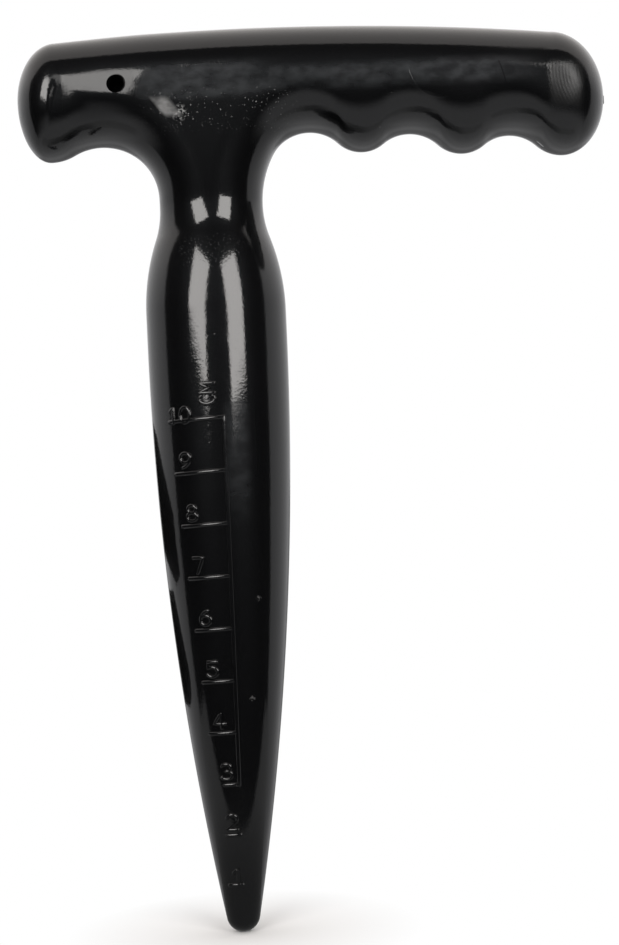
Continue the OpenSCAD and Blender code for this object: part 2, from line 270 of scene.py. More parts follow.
LAST_BUMP = bump_c(FINGER_COUNT - 1) - [0, BUMP_R]
LEFT_TIP = np.array([LOBE_LOW[0] - LEFT_REACH, TOP_Z - LEFT_DROP])
LEFT_TOP = LEFT_TIP[0] + LEFT_ROUND
RIGHT_TIP = np.array([LAST_BUMP[0] + RIGHT_REACH, TOP_Z - RIGHT_DROP])
RIGHT_TOP = RIGHT_TIP[0] - RIGHT_ROUND


def crown_z(x):
    """Height of the top edge."""
    return TOP_Z - CROWN_R + math.sqrt(CROWN_R ** 2 - (x - CROWN_X) ** 2)


def ridge(x):
    """Point of the grip's thickest line."""
    return np.array([x, crown_z(x) - RIDGE_DROP])


LEFT_RIDGE = LEFT_TIP[0] + LEFT_PLAN
RIGHT_RIDGE = RIGHT_TIP[0] - RIGHT_PLAN


def ridge_x(x):
    """Place along the thickest line that faces a place on the underside."""
    if x < -THUMB_X:
        return mix(-THUMB_X, LEFT_RIDGE, (x + THUMB_X) / (LOBE_LOW[0] + THUMB_X))
    if x > FINGER_X:
        return mix(FINGER_X, RIGHT_RIDGE, (x - FINGER_X) / (LAST_BUMP[0] - FINGER_X))
    return x


def grip_depth(x):
    """Half depth of the grip at its thickest line."""
    gain = FINGER_SWELL * smooth((x - FINGER_X) / (RIGHT_RIDGE - FINGER_X))
    return GRIP_A + gain - THUMB_TAPER * smooth((x + NECK_R) / (LEFT_RIDGE + NECK_R))


def swell(x, y, z):
    """Height of the thumb arm's front over the even form."""
    edge = ease(x, *EDGE_CLIMB) - ease(x, *EDGE_DROP)
    rise = ease(z - edge, *SWELL_RISE) * ease(z, *SWELL_EASE, 1.0, SWELL_UPPER)
    return SWELL_H * rise * ease(x, *SWELL_NECK) * ease(y, *SWELL_JOINT)


RIDGE_Z = ridge(0)[1]
CONE_Z = SHOULDER_Z + SHOULDER_R * sin_d(SHOULDER_A)
CONE_D = BELLY_R - SHOULDER_R * (1 - cos_d(SHOULDER_A))
BEND_Z = CONE_Z + CONE_LEN
BEND_D = CONE_D - CONE_LEN * tan_d(SHOULDER_A)
WAIST_Z = BEND_Z + WAIST_R * sin_d(SHOULDER_A)
WAIST_D = BEND_D - WAIST_R * (1 - cos_d(SHOULDER_A))
RISE_Z = WAIST_Z + WAIST_R * sin_d(WAIST_RISE_A)
RISE_D = WAIST_D + WAIST_R * (1 - cos_d(WAIST_RISE_A))


def front_depth(z):
    """Half depth of the shoulder, the neck and the rise to the grip, and its slope along Z."""
    if z <= SHOULDER_Z:
        return BELLY_R, 0.0
    if z <= CONE_Z:
        fall = math.sqrt(SHOULDER_R ** 2 - (z - SHOULDER_Z) ** 2)
        return BELLY_R - SHOULDER_R + fall, -(z - SHOULDER_Z) / fall
    if z <= BEND_Z:
        slope = tan_d(SHOULDER_A)
        return CONE_D - (z - CONE_Z) * slope, -slope
    if z <= RISE_Z:
        fall = math.sqrt(WAIST_R ** 2 - (z - WAIST_Z) ** 2)
        return WAIST_D + WAIST_R - fall, (z - WAIST_Z) / fall
    run = RIDGE_Z - RISE_Z
    u = min((z - RISE_Z) / run, 1.0)
    slope = tan_d(WAIST_RISE_A) * run
    depth = (RISE_D * (2 * u ** 3 - 3 * u ** 2 + 1) + slope * (u ** 3 - 2 * u ** 2 + u)
             + GRIP_A * (3 * u ** 2 - 2 * u ** 3))
    rate = (RISE_D * (6 * u ** 2 - 6 * u) + slope * (3 * u ** 2 - 4 * u + 1)
            + GRIP_A * (6 * u - 6 * u ** 2))
    return depth, rate / run


def flank_at(z):
    """Radius of the spike's flank at a height."""
    return BELLY_R - FLANK_R + math.sqrt(FLANK_R ** 2 - (BELLY_Z - z) ** 2)


class Rib:
    """Section of a half from the outline p to the thickest line q, with its depth, slope, power and wall."""

    def __init__(self, p, q, depth=None, slope=0.0, power=GRIP_POWER, wall=WALL):
        self.p = np.asarray(p, float)
        self.q = np.asarray(q, float)
        self.depth = grip_depth(q[0]) if depth is None else depth
        self.slope = slope
        self.power = power
        self.wall = wall

    def point(self, inset, t):
        """Point at angle t from the outline, 0, to the thickest line, 90, at an inset from the surface."""
        arm = self.p - self.q
        reach = np.linalg.norm(arm)
        out = arm * (1 - inset / reach) if reach > inset else arm * 0
        c = max(cos_d(t), 0.0) ** (2 / self.power)
        s = max(sin_d(t), 0.0) ** (2 / self.power)
        x, z = self.q + out * c
        return np.array([x, max(self.depth - inset, 0.0) * s + self.slope * out[1] * c * (1 - c), z])

    def rim(self, inset):
        """Point of the joint face at an inset from the outline."""
        arm = self.p - self.q
        reach = np.linalg.norm(arm)
        x, z = self.p - arm * (min(inset, reach) / reach if reach else 0)
        return np.array([x, 0.0, z])

    def column(self):
        """Points from the thickest line round the joint to the inner surface."""
        edge = math.degrees((SEAM / max(self.depth, 4 * SEAM)) ** (self.power / 2))
        outer = [self.point(0, mix(edge, 90, i / RIB_N)) for i in range(RIB_N, -1, -1)]
        inner = [self.point(self.wall, 90 * i / RIB_N) for i in range(RIB_N + 1)]
        return outer + [self.rim(SEAM)] + inner


def spike_profile():
    """Half width and height up the spike, from the point to just under the neck."""
    points = arc([0, TIP_R], TIP_R, -90, -FLANK_A, TIP_N)
    points += arc([BELLY_R - FLANK_R, BELLY_Z], FLANK_R, -FLANK_A, 0, FLANK_N)[1:]
    points += arc([BELLY_R - SHOULDER_R, SHOULDER_Z], SHOULDER_R, 0, SHOULDER_A, SHOULDER_N)
    points += arc([NECK_R + NECK_CURVE_R, NECK_Z], NECK_CURVE_R, 180 + SHOULDER_A, 180, SHOULDER_N)[1:-1]
    return points


def spike_rib(r, z, side):
    """Round section of the spike on one side; its wall closes up towards the solid point."""
    depth = r if z <= SHOULDER_Z else front_depth(z)[0]
    open_u = min(max((z - TIP_SOLID + TIP_CONE) / TIP_CONE, 0.0), 1.0)
    wall = mix(max(r, depth), WALL, open_u) if open_u < 1 else WALL
    return Rib([side * r, z], [0, z], depth, 0.0, ROUND_POWER, max(wall, 2 * SEAM))


FLARE_LEN = FLARE_R * FLARE_A
FLARE_ALL = FLARE_LEN + FINGER_R * (90 - FLARE_A)
RISE_LEN = math.degrees(THUMB_RISE)
THUMB_ALL = RISE_LEN + THUMB_R * 90


def flare_at(u):
    """Finger side of the outline, from the neck to the top of the first hollow."""
    way = u * FLARE_ALL
    if way < FLARE_LEN:
        return FLARE_C + FLARE_R * turn(180 - way / FLARE_R)
    return HOLLOW_C + FINGER_R * turn(180 - FLARE_A - (way - FLARE_LEN) / FINGER_R)


def thumb_at(u):
    """Thumb side of the outline, from the neck to the top of the thumb hollow."""
    way = u * THUMB_ALL
    if way < RISE_LEN:
        return np.array([-NECK_R, NECK_Z + math.radians(way)])
    return THUMB_C + THUMB_R * turn((way - RISE_LEN) / THUMB_R)


def deck_at(u, v):
    """Grid of the grip's front: u from the neck to the thickest line, v from the thumb to the fingers."""
    top = ridge(mix(-THUMB_X, FINGER_X, v))
    return np.array([top[0] * (1 - cos_d(90 * u)), mix(NECK_Z, top[1], sin_d(90 * u))])


def deck_depth(u, v):
    """Half depth of the grid and its slope along Z."""
    depth, slope = front_depth(mix(NECK_Z, RIDGE_Z, sin_d(90 * u)))
    return depth + grip_depth(deck_at(u, v)[0]) - GRIP_A, slope


def fillet_rib(u, v):
    """Rib of the fillet between the neck and the grip, on the thumb side, v 0, or the finger side, v 1."""
    depth, slope = deck_depth(u, v)
    p = thumb_at(u) if v == 0 else flare_at(u)
    return Rib(p, deck_at(u, v), depth, slope, mix(ROUND_POWER, GRIP_POWER, smooth(u)))


def wave_line():
    """Underside from the first hollow to the last ridge."""
    points = []
    for k in range(FINGER_COUNT):
        start = 90 if k == 0 else 90 + WAVE_A - FINGER_FALL
        end = 270 if k == FINGER_COUNT - 1 else 270 + WAVE_A - FINGER_FALL
        points += arc(finger_c(k), FINGER_R, start, 90 - WAVE_A - FINGER_FALL, HOLLOW_N)[1:]
        points += arc(bump_c(k), BUMP_R, 270 - WAVE_A - FINGER_FALL, end, HOLLOW_N)[1:]
    return points


def lobe_line():
    """Underside from the thumb hollow to the lobe's lowest point."""
    points = arc(THUMB_C, THUMB_R, 90, 90 + LOBE_A, LOBE_N)[1:]
    return points + arc(LOBE_C, LOBE_R, 270 + LOBE_A, 270, LOBE_N)[1:]


def end_rib(tip, low, top_x, i, upper):
    """Rib i of a rounded end: from its lowest or highest point, 0, to its furthest point, END_N."""
    a = 90 * i / END_N
    q = ridge(mix(ridge_x(low[0]), tip[0], END_RUN * sin_d(a)))
    start = np.array([top_x, crown_z(top_x)]) if upper else low
    p = [mix(start[0], tip[0], sin_d(a)), mix(tip[1], start[1], cos_d(a))]
    return Rib(p, q, power=mix(GRIP_POWER, END_POWER, smooth(i / END_N)))


def top_rib(x, q0, q1, p0, p1):
    """Rib up to the top edge from the thickest line at x, where q0 to q1 there faces p0 to p1 on the edge."""
    at = mix(p0, p1, (x - q0) / (q1 - q0))
    return Rib([at, crown_z(at)], ridge(ridge_x(x)))


def all_ribs():
    """Ribs in order round the outline, from the point up the thumb side and down the finger side."""
    profile = spike_profile()
    lobe = lobe_line()
    wave = wave_line()
    span = range(FILLET_N + 1)
    ribs = [spike_rib(r, z, -1) for r, z in profile]
    ribs += [fillet_rib(i / FILLET_N, 0) for i in span]
    ribs += [Rib(p, ridge(ridge_x(p[0]))) for p in lobe]
    ribs += [end_rib(LEFT_TIP, LOBE_LOW, LEFT_TOP, i, False) for i in range(1, END_N + 1)]
    ribs += [end_rib(LEFT_TIP, LOBE_LOW, LEFT_TOP, i, True) for i in range(END_N - 1, -1, -1)]
    ribs += [top_rib(p[0], LOBE_LOW[0], -THUMB_X, LEFT_TOP, -THUMB_X) for p in lobe[-2::-1]]
    deck = [deck_at(1, j / DECK_N)[0] for j in range(DECK_N + 1)]
    ribs += [Rib([x, crown_z(x)], ridge(x)) for x in deck]
    ribs += [top_rib(p[0], FINGER_X, LAST_BUMP[0], FINGER_X, RIGHT_TOP) for p in wave[:-1]]
    ribs += [end_rib(RIGHT_TIP, LAST_BUMP, RIGHT_TOP, i, True) for i in range(END_N + 1)]
    ribs += [end_rib(RIGHT_TIP, LAST_BUMP, RIGHT_TOP, i, False) for i in range(END_N - 1, 0, -1)]
    ribs += [Rib(p, ridge(ridge_x(p[0]))) for p in wave[::-1]]
    ribs += [fillet_rib(i / FILLET_N, 1) for i in reversed(span)]
    ribs += [spike_rib(r, z, 1) for r, z in reversed(profile)]
    return ribs


def new_object(name, bm):
    """Mesh object of a bmesh that is in millimetres."""
    bmesh.ops.scale(bm, vec=(MM, MM, MM), verts=bm.verts)
    mesh = bpy.data.meshes.new(name)
    bm.to_mesh(mesh)
    bm.free()
    obj = bpy.data.objects.new(name, mesh)
    bpy.context.scene.collection.objects.link(obj)
    return obj


def add_grid(bm, rows):
    """Faces between neighbouring rows of points."""
    verts = [[bm.verts.new(p) for p in row] for row in rows]
    for upper, lower in zip(verts, verts[1:]):
        for j in range(len(upper) - 1):
            bm.faces.new((upper[j], upper[j + 1], lower[j + 1], lower[j]))


def half_shell(name, side):
    """Hollow half of the dibber at -Y, side -1, or +Y, side 1; the swell is on the front half alone."""
    flip = np.array([1, side, 1])
    bm = bmesh.new()
    add_grid(bm, [[p * flip for p in rib.column()] for rib in all_ribs()])
    for inset in (0, WALL):
        rows = []
        for i in range(FILLET_N + 1):
            row = []
            for j in range(DECK_N + 1):
                x, z = deck_at(i / FILLET_N, j / DECK_N)
                row.append(np.array([x, deck_depth(i / FILLET_N, j / DECK_N)[0] - inset, z]) * flip)
            rows.append(row)
        add_grid(bm, rows)
    bmesh.ops.remove_doubles(bm, verts=bm.verts, dist=SAME)
    bmesh.ops.dissolve_degenerate(bm, edges=bm.edges, dist=SAME / 10)
    for vert in bm.verts:
        vert.co.y -= swell(*vert.co)
    bmesh.ops.recalc_face_normals(bm, faces=bm.faces)
    return new_object(name, bm)


def revolved(name, profile, place, side):
    """Closed solid turned about a line along Y at a place: profile is a list of radius and distance."""
    bm = bmesh.new()
    angles = [360 * k / TURN_N for k in range(TURN_N + 1)]
    rings = []
    for r, y in profile:
        rings.append([place + Vector((r * cos_d(a), side * y, r * sin_d(a))) for a in angles])
    add_grid(bm, rings)
    bmesh.ops.remove_doubles(bm, verts=bm.verts, dist=SAME)
    bmesh.ops.recalc_face_normals(bm, faces=bm.faces)
    return new_object(name, bm)


def combine(obj, tool, operation):
    """Adds the tool to the object or cuts it out, and deletes the tool."""
    modifier = obj.modifiers.new("combine", "BOOLEAN")
    modifier.operation = operation
    modifier.solver = "EXACT"
    modifier.object = tool
    graph = bpy.context.evaluated_depsgraph_get()
    mesh = bpy.data.meshes.new_from_object(obj.evaluated_get(graph))
    obj.modifiers.remove(modifier)
    old = obj.data
    obj.data = mesh
    bpy.data.meshes.remove(old)
    bpy.data.objects.remove(tool)


def drill(obj, side):
    """Boss, and hanging hole with a rounded mouth, through one half."""
    place = Vector(HOLE["pos_m"]) / MM
    r = HOLE["dims"]["r_mm"]
    off = place.z - ridge(place.x)[1]
    mouth = grip_depth(place.x) * (1 - (abs(off) / RIDGE_DROP) ** GRIP_POWER) ** (1 / GRIP_POWER)
    mouth += swell(place.x, side * mouth, place.z)
    boss = [(0, 0), (r + BOSS_WALL, 0), (r + BOSS_WALL, mouth - WALL / 2), (0, mouth - WALL / 2)]
    combine(obj, revolved("boss", boss, place, side), "UNION")
    edge = arc([r + HOLE_ROUND, mouth - HOLE_ROUND], HOLE_ROUND, 180, MOUTH_END, CAP_N)
    bore = [(0, -WALL), (r, -WALL)] + [tuple(p) for p in edge]
    bore += [(2 * r, mouth + r), (2 * r, GRIP_DEPTH), (0, GRIP_DEPTH)]
    combine(obj, revolved("bore", bore, place, side), "DIFFERENCE")
    return place, r


def shade(obj, material, body="root"):
    """Smooth shading with sharp edges kept, finish and body of a piece."""
    mesh = obj.data
    mesh.polygons.foreach_set("use_smooth", [True] * len(mesh.polygons))
    mesh.set_sharp_from_angle(angle=math.radians(SHARP_A))
    mesh.materials.clear()
    mesh.materials.append(material)
    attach(obj, body)
    return obj


def darken_bore(obj, place, r, material):
    """Dull finish on the wall of the hole."""
    obj.data.materials.append(material)
    for face in obj.data.polygons:
        away = math.hypot(face.center.x / MM - place.x, face.center.z / MM - place.z)
        if away < r + HOLE_ROUND / 8 and abs(face.normal.y) < 0.5:
            face.material_index = 1


def on_flank(angle, z):
    """Point of the spike's surface at an angle from the front, and its outward normal, in millimetres."""
    r = flank_at(z)
    tilt = math.atan2(BELLY_Z - z, FLANK_R)
    out = Vector((sin_d(angle), -cos_d(angle), 0))
    return out * r + Vector((0, 0, z)), out * math.cos(tilt) + Vector((0, 0, -math.sin(tilt)))


def add_bead(bm, path, width, height):
    """Half-round raised line along points of the flank, with rounded ends unless it is a closed loop."""
    places = [on_flank(a, z) for a, z in path]
    closed = (places[0][0] - places[-1][0]).length < SAME / 100
    count = len(places) - 1 if closed else len(places)
    stations = []
    for i in range(count):
        before = places[(i - 1) % count if closed else max(i - 1, 0)][0]
        after = places[(i + 1) % count if closed else min(i + 1, count - 1)][0]
        stations.append((places[i][0], places[i][1], (after - before).normalized(), 1.0))
    if not closed:
        head = [(cos_d(90 * k / CAP_N), sin_d(90 * k / CAP_N)) for k in range(1, CAP_N)]
        p, n, t, _ = stations[0]
        start = [(p - t * width / 2 * s, n, t, c) for c, s in reversed(head)]
        p, n, t, _ = stations[-1]
        stations = start + stations + [(p + t * width / 2 * s, n, t, c) for c, s in head]
    angles = [180 * k / BEAD_N for k in range(BEAD_N + 1)]
    rings = []
    for p, n, t, size in stations:
        half = t.cross(n).normalized() * (width / 2 * size)
        ring = [p + half * cos_d(a) + n * (height * size * sin_d(a)) for a in angles]
        ring += [p - half - n * height, p + half - n * height]
        rings.append([bm.verts.new(q) for q in ring])
    pairs = list(zip(rings, rings[1:])) + ([(rings[-1], rings[0])] if closed else [])
    for a, b in pairs:
        for j in range(len(a)):
            k = (j + 1) % len(a)
            bm.faces.new((a[j], a[k], b[k], b[j]))
    if not closed:
        bm.faces.new(rings[0])
        bm.faces.new(list(reversed(rings[-1])))


def line_len(k):
    """Length of graduation line k to the left of the spike's middle."""
    if k <= SHORT_COUNT:
        return LINE_SHORT
    return LINE_LONG + (k - SHORT_COUNT - 1) * LINE_GROW


def angle_at(x, z):
    """Angle from the front at which the flank stands at x."""
    return asin_d(x / flank_at(z))


def scale_lines():
    """Upright line and graduation lines of the depth scale."""
    bm = bmesh.new()
    low = SCALE_STEP * SHORT_COUNT
    top = SCALE_STEP * SCALE_COUNT
    reach = line_len(SCALE_COUNT) + flank_at(top) * sin_d(UPRIGHT_ANGLE)
    top += reach * tan_d((SOURCE_SLOPE + LINE_SLOPE) / 2)
    upright = [(UPRIGHT_ANGLE, mix(low, top, i / UPRIGHT_N)) for i in range(UPRIGHT_N + 1)]
    add_bead(bm, upright, LINE_W, LINE_H)
    for k in range(1, SCALE_COUNT + 1):
        z = k * SCALE_STEP
        start = -line_len(k)
        end = flank_at(z) * sin_d(UPRIGHT_ANGLE)
        middle_z = z + (end - start) / 2 * tan_d(SOURCE_SLOPE)
        path = []
        for i in range(LINE_N + 1):
            x = mix(start, end, i / LINE_N)
            at = middle_z + (x - (start + end) / 2) * tan_d(LINE_SLOPE)
            path.append((angle_at(x, at), at))
        add_bead(bm, path, LINE_W, LINE_H)
    bmesh.ops.recalc_face_normals(bm, faces=bm.faces)
    return new_object("depth_scale_lines", bm)


def oval(cx, cy, rx, ry, a0, a1):
    """Points of a stroke along part of an oval, in shares of a figure's height."""
    n = max(STROKE_N, int(abs(a1 - a0) / OVAL_STEP))
    angles = [mix(a0, a1, i / n) for i in range(n + 1)]
    return [(cx + rx * cos_d(a), cy + ry * sin_d(a)) for a in angles]


def straight(*points):
    """Points of a stroke along straight lines, close enough together to follow the flank."""
    shares = [i / STROKE_N for i in range(1, STROKE_N + 1)]
    found = [points[0]]
    for a, b in zip(points, points[1:]):
        found += [(mix(a[0], b[0], u), mix(a[1], b[1], u)) for u in shares]
    return found


# Strokes of the figures: x and height in shares of a figure's height
FIGURE_MID = 0.31
SIX = [oval(0.31, 0.31, 0.31, 0.31, 0, 360), oval(0.80, 0.36, 0.80, 0.64, 115, 185)]
FIGURES = {
    "1": [straight((0.1, 0.78), (0.33, 1.0), (0.33, 0.0))],
    "2": [oval(0.31, 0.70, 0.30, 0.30, 165, -38) + straight((0.02, 0.0), (0.62, 0.0))],
    "3": [oval(0.29, 0.76, 0.27, 0.24, 150, -90), oval(0.29, 0.27, 0.32, 0.27, 90, -150)],
    "4": [straight((0.44, 0.0), (0.44, 1.0), (0.0, 0.30), (0.64, 0.30))],
    "5": [straight((0.58, 1.0), (0.08, 1.0), (0.06, 0.55)) + oval(0.29, 0.32, 0.32, 0.32, 125, -150)],
    "6": SIX,
    "7": [straight((0.0, 1.0), (0.62, 1.0), (0.24, 0.0))],
    "8": [oval(0.31, 0.76, 0.25, 0.24, -90, 270), oval(0.31, 0.26, 0.31, 0.26, 90, 450)],
    "9": [[(2 * FIGURE_MID - x, 1 - y) for x, y in stroke] for stroke in SIX],
    "0": [oval(0.31, 0.5, 0.31, 0.5, 90, 450)],
    "C": [oval(0.36, 0.5, 0.36, 0.5, 50, 310)],
    "M": [straight((0.0, 0.0), (0.0, 1.0), (0.36, 0.35), (0.72, 1.0), (0.72, 0.0))],
}
FIGURE_STEP = 0.82
FIGURE_WIDEN = 1.15
UNIT_WIDEN = 0.85


def add_word(bm, word, angle, z, widen, turned):
    """Raised word, upright or turned to read upwards, with its first figure's foot centred at a place."""
    for i, sign in enumerate(word):
        for stroke in FIGURES[sign]:
            path = []
            for x, y in stroke:
                across = (x - FIGURE_MID + i * FIGURE_STEP) * FIGURE_H * widen
                up = y * FIGURE_H
                if turned:
                    across, up = -up, across
                at = z + up
                path.append((angle + math.degrees(across / flank_at(at)), at))
            add_bead(bm, path, FIGURE_W, FIGURE_RISE)


def scale_figures():
    """Figures beside the graduation lines and the unit above them."""
    bm = bmesh.new()
    for k in range(1, SCALE_COUNT + 1):
        word = str(k)
        z = k * SCALE_STEP
        x = FIGURE_IN - line_len(k) if k > SHORT_COUNT else -FIGURE_SHORT_X * k
        x -= (len(word) - 1) * FIGURE_STEP * FIGURE_H / 2
        lift = {1: FIRST_LIFT, SCALE_COUNT: LAST_LIFT}.get(k, FIGURE_LIFT)
        add_word(bm, word, angle_at(x, z), z + lift, FIGURE_WIDEN, False)
    add_word(bm, "CM", UNIT_ANGLE + math.degrees(FIGURE_H / 2 / BELLY_R), UNIT_Z, UNIT_WIDEN, True)
    bmesh.ops.recalc_face_normals(bm, faces=bm.faces)
    return new_object("depth_scale_figures", bm)


def gate_mark():
    """Stub left where the moulding was cut from its feed, on the joint at the finger end."""
    bm = bmesh.new()
    bmesh.ops.create_cube(bm, size=1)
    bmesh.ops.scale(bm, vec=(2 * GATE_H, GATE_T, GATE_W), verts=bm.verts)
    bmesh.ops.bevel(bm, geom=bm.edges, offset=GATE_H / 3, segments=2, affect="EDGES")
    bmesh.ops.translate(bm, vec=(RIGHT_TIP[0], 0, RIGHT_TIP[1]), verts=bm.verts)
    return new_object("gate_mark", bm)


# Finish: black under a clear gloss
BASE = (0.0012, 0.0012, 0.0014, 1)
# Pale grey of the specks, and of the painted highlight at the neck
FLECK_AND_HIGHLIGHT = (0.2, 0.2, 0.2, 1)
ROUGH = 0.42
DULL_ROUGH = 0.8
IOR = 1.4
SPECULAR = 0.1
HAZE_SPECULAR = 0.34
HAZE_TINT = (0.88, 0.94, 1.0, 1)
COAT_IOR = 1.5
COAT_ROUGH = (0.045, 0.095)
SMUDGE_ROUGH = 0.3
# Depth from which the front's marks begin, and depth from which they are full
FRONT = (2.0, -4.0)

# Patches of the front in millimetres: each grows over the first two places along x and z, fades over the last
# two and has a level
GRIP_HAZE = ((4.0, 14.0, 52.0, 66.0), (161.2, 163.5, 165.6, 167.8), 1.0)
NECK_HAZE = ((-14.0, -9.0, 6.0, 16.0), (160.4, 162.8, 166.5, 169.5), 1.0)
SPIKE_HAZE = ((0.4, 2.0, 4.6, 6.6), (78.0, 90.0, 101.0, 105.0), 0.55)
# Painted highlight at the neck: pale colour where the left lamp's reflection falls
NECK_HIGHLIGHT = ((110.8, 111.8, 113.9, 115.2), (157.8, 159.2, 161.2, 162.4), 0.75)
SPLAY = ((-13.0, -7.0, 12.0, 20.0), (154.0, 159.0, 161.5, 164.0), 0.7)
SHOULDER_SPLAY = ((-7.5, -4.5, 4.5, 7.5), (128.0, 131.0, 134.0, 136.5), 0.22)
FINGER_MARK = ((64.5, 67.0, 71.0, 74.0), (154.5, 158.0, 163.5, 167.0), 1.0)
FINGER_FILM = ((38.0, 61.0, 63.0, 67.0), (164.5, 166.5, 167.5, 170.0), 0.5)
THUMB_FILM = ((-40.0, -37.0, -14.0, -6.0), (158.0, 161.0, 168.0, 171.0), 0.1)
THUMB_WORN = ((-29.5, -26.0, -14.0, -8.0), (158.0, 161.0, 167.0, 169.5), 0.4)
THUMB_END_WORN = ((-29.6, -29.0, -27.4, -26.2), (158.8, 161.2, 167.5, 169.0), 0.8)
FINGER_WORN = ((42.0, 50.0, 64.4, 66.6), (158.5, 161.5, 167.4, 168.8), 0.7)
SPIKE_WORN = ((1.3, 2.0, 6.5, 8.0), (84.0, 92.0, 102.8, 104.6), 0.65)
MARK_WORN = 0.35
# The painted highlight at the neck leans: its places along x are moved by this share of the height
NECK_HIGHLIGHT_LEAN = 0.75

# Random spots: scale and detail of a noise, and the levels between which it shows
SPLAY_GRAIN = (2.1, 3.0, 0.64, 0.74)
SHOULDER_GRAIN = (3.4, 3.0, 0.62, 0.74)
CLUSTER_GRAIN = (2.4, 3.0, 0.5, 0.62)
NICK_GRAIN = (2.6, 2.0, 0.48, 0.62)
# Places on the front, and the distances over which spots fade round them
CLUSTER = (-4.7, 158.9)
CLUSTER_FADE = (0.4, 2.0)
NICKS = ((6.1, 65.9), (4.0, 46.7))
NICK_FADE = (0.25, 0.7)
NICK_LEVEL = 0.3
# Dust: scale of its grid, size of a speck in cells and share of the cells, and its level
DUST = (0.42, 0.05, 0.12)
DUST_LEVEL = 0.5

# Cloudiness of the haze and of the gloss, as random spots, and the haze's levels
CLOUD_STRETCH = (0.6, 1.0, 1.0)
CLOUD = (0.5, 6.0, 0.3, 0.7)
CLOUD_LEVELS = (0.35, 1.25)
GLOSS = (0.35, 4.0, 0.3, 0.7)
# Waves and grain of the surface: scale and detail of a noise
WAVE = (0.11, 2.0)
GRAIN = (2.2, 4.0)
# Heights in millimetres
WAVE_H = 0.045
GRAIN_H = 0.014
SPECK_H = 0.02
MARK_H = 0.003
SCRATCH_H = 0.012

# Lines of the finger mark, round a centre, and two scratches along circles, with centre, radius and stretch
LOOPS = (78.5, 163.5)
LOOP_PITCH = 0.62
CURL = (45.6, 166.2, 6.55)
CURL_X = (38.6, 39.6, 45.4, 47.0)
CURL_Z = (166.0, 164.6)
HAIR = (28.0, 155.3, 30.2)
HAIR_X = (50.0, 52.0)
HAIR_Z = (160.8, 161.6, 165.6, 166.4)
SCRATCH_FADE = (0.05, 0.16)


class Net:
    """Short hand for the nodes of a material or a world."""

    def __init__(self, tree):
        self.nodes = tree.nodes
        self.links = tree.links

    def feed(self, socket, value):
        """Links a socket, or sets it to a plain value."""
        if isinstance(value, bpy.types.NodeSocket):
            self.links.new(value, socket)
        else:
            socket.default_value = value

    def math(self, operation, a, b=0.0):
        node = self.nodes.new("ShaderNodeMath")
        node.operation = operation
        self.feed(node.inputs[0], a)
        self.feed(node.inputs[1], b)
        return node.outputs[0]

    def product(self, first, *others):
        for other in others:
            first = self.math("MULTIPLY", first, other)
        return first

    def most(self, first, *others):
        for other in others:
            first = self.math("MAXIMUM", first, other)
        return first

    def split(self, vector):
        """The three parts of a vector."""
        node = self.nodes.new("ShaderNodeSeparateXYZ")
        self.links.new(vector, node.inputs[0])
        return node.outputs

    def place(self):
        """Place on an object in millimetres."""
        where = self.nodes.new("ShaderNodeTexCoord")
        return self.scaled(where.outputs["Object"], 1 / MM, 1 / MM, 1 / MM)

    def ramp(self, value, low, high, start=0.0, end=1.0, kind="SMOOTHSTEP"):
        """Change from start to end as the value goes from low to high, smooth unless told otherwise."""
        node = self.nodes.new("ShaderNodeMapRange")
        node.interpolation_type = kind
        self.feed(node.inputs["Value"], value)
        for name, number in (("From Min", low), ("From Max", high), ("To Min", start), ("To Max", end)):
            node.inputs[name].default_value = number
        return node.outputs["Result"]

    def fade(self, value, low, high):
        """1 below the low value, falling to 0 at the high one."""
        return self.ramp(value, low, high, 1.0, 0.0)

    def zone(self, value, a, b, c, d):
        """1 between b and c, falling to 0 at a and d."""
        return self.product(self.ramp(value, a, b), self.fade(value, c, d))

    def scaled(self, vector, x, y, z):
        node = self.nodes.new("ShaderNodeVectorMath")
        node.operation = "MULTIPLY"
        self.links.new(vector, node.inputs[0])
        node.inputs[1].default_value = (x, y, z)
        return node.outputs[0]

    def noise(self, vector, scale, detail):
        node = self.nodes.new("ShaderNodeTexNoise")
        self.links.new(vector, node.inputs["Vector"])
        node.inputs["Scale"].default_value = scale
        node.inputs["Detail"].default_value = detail
        return node.outputs["Fac"]

    def specks(self, vector, scale, size, share):
        """Small round spots in a share of the cells of a random grid."""
        node = self.nodes.new("ShaderNodeTexVoronoi")
        self.links.new(vector, node.inputs["Vector"])
        node.inputs["Scale"].default_value = scale
        pick = self.nodes.new("ShaderNodeSeparateColor")
        self.links.new(node.outputs["Color"], pick.inputs[0])
        chosen = self.math("LESS_THAN", pick.outputs[0], share)
        return self.product(self.fade(node.outputs["Distance"], size / 3, size), chosen)

    def away(self, x, z, cx, cz):
        """Distance across the front from a place."""
        dx = self.math("SUBTRACT", x, cx)
        dz = self.math("SUBTRACT", z, cz)
        return self.math("SQRT", self.math("ADD", self.product(dx, dx), self.product(dz, dz)))

    def blend(self, share, a, b):
        """Colour between a and b, by the node's colour sockets."""
        node = self.nodes.new("ShaderNodeMix")
        node.data_type = "RGBA"
        self.feed(node.inputs[0], share)
        self.feed(node.inputs[6], a)
        self.feed(node.inputs[7], b)
        return node.outputs[2]

    def node(self, kind, **values):
        """First output of a new node of a kind, with its sockets fed."""
        node = self.nodes.new(kind)
        for name, value in values.items():
            self.feed(node.inputs[name], value)
        return node.outputs[0]

    def output(self, kind, share, first, second):
        """Output of a kind that shows a shader between two others."""
        node = self.nodes.new("ShaderNodeMixShader")
        self.feed(node.inputs["Fac"], share)
        self.links.new(first, node.inputs[1])
        self.links.new(second, node.inputs[2])
        self.links.new(node.outputs[0], self.nodes.new(kind).inputs["Surface"])

    def to_camera(self):
        """1 for what the camera sees by itself."""
        return self.nodes.new("ShaderNodeLightPath").outputs["Is Camera Ray"]


def new_material(name):
    """Material and the net of its nodes."""
    material = bpy.data.materials.new(name)
    material.use_nodes = True
    return material, Net(material.node_tree)


